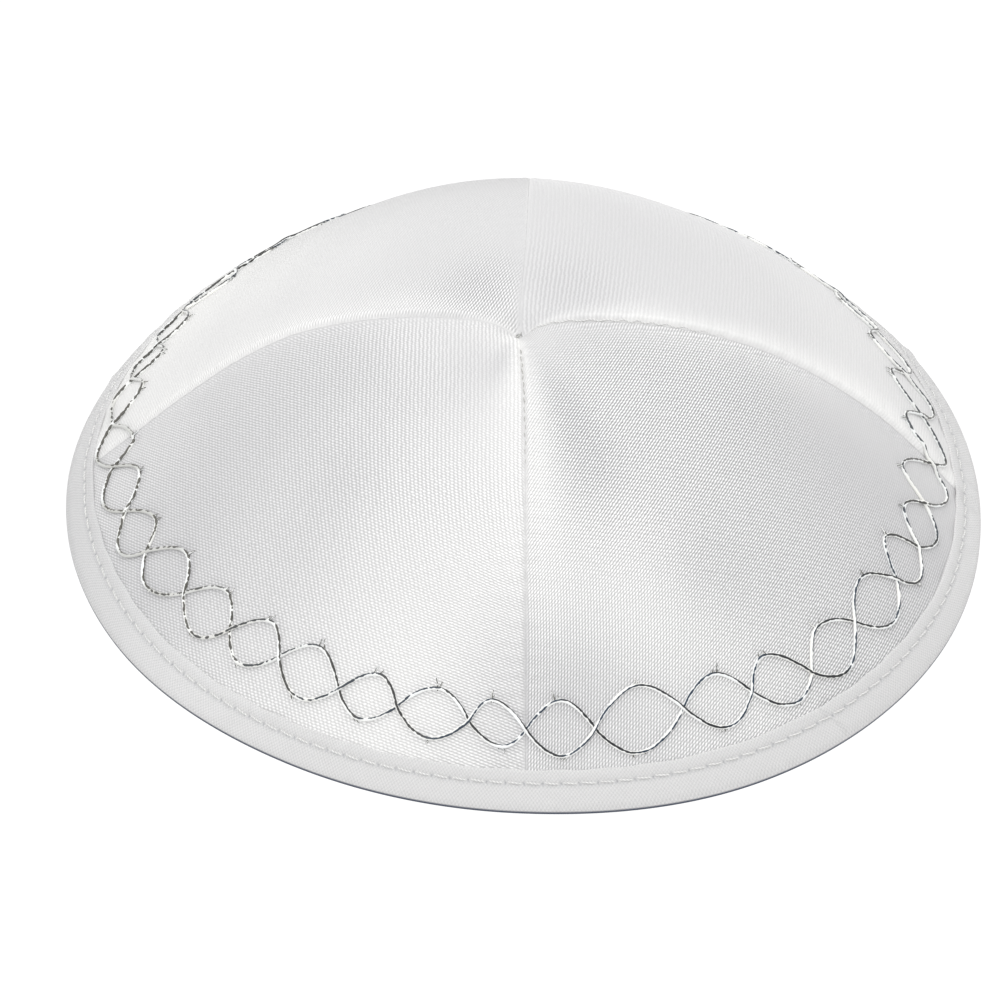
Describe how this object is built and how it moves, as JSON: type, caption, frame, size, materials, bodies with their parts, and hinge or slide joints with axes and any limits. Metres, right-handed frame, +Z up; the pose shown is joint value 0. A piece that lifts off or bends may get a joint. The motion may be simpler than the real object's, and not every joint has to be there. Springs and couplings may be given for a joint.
{
  "type": "kippah skullcap",
  "caption": "Low round skullcap of seamed satin panels with a folded cotton binding round the rim, resting on its edge.",
  "frame": {"origin": "middle of the cap's bounding box at floor level, under the crown; the bound edge stands on z = 0", "axes": "+Z up through the crown, -Y towards the front seam, +X towards the cap's right-hand seam as seen from the front"},
  "size_m": [0.165, 0.164, 0.0427],
  "materials": {
    "satin": "white polyester satin, soft sheen across the weave",
    "cotton_binding": "matte white plain-weave cotton bias tape",
    "metallic_thread": "silver metallic embroidery thread",
    "sewing_thread": "white sewing thread"
  },
  "bodies": {
    "root": {"panel_front_left": "satin", "panel_front_right": "satin", "panel_back_left": "satin", "panel_back_right": "satin", "binding": "cotton_binding"}
  },
  "joints": []
}
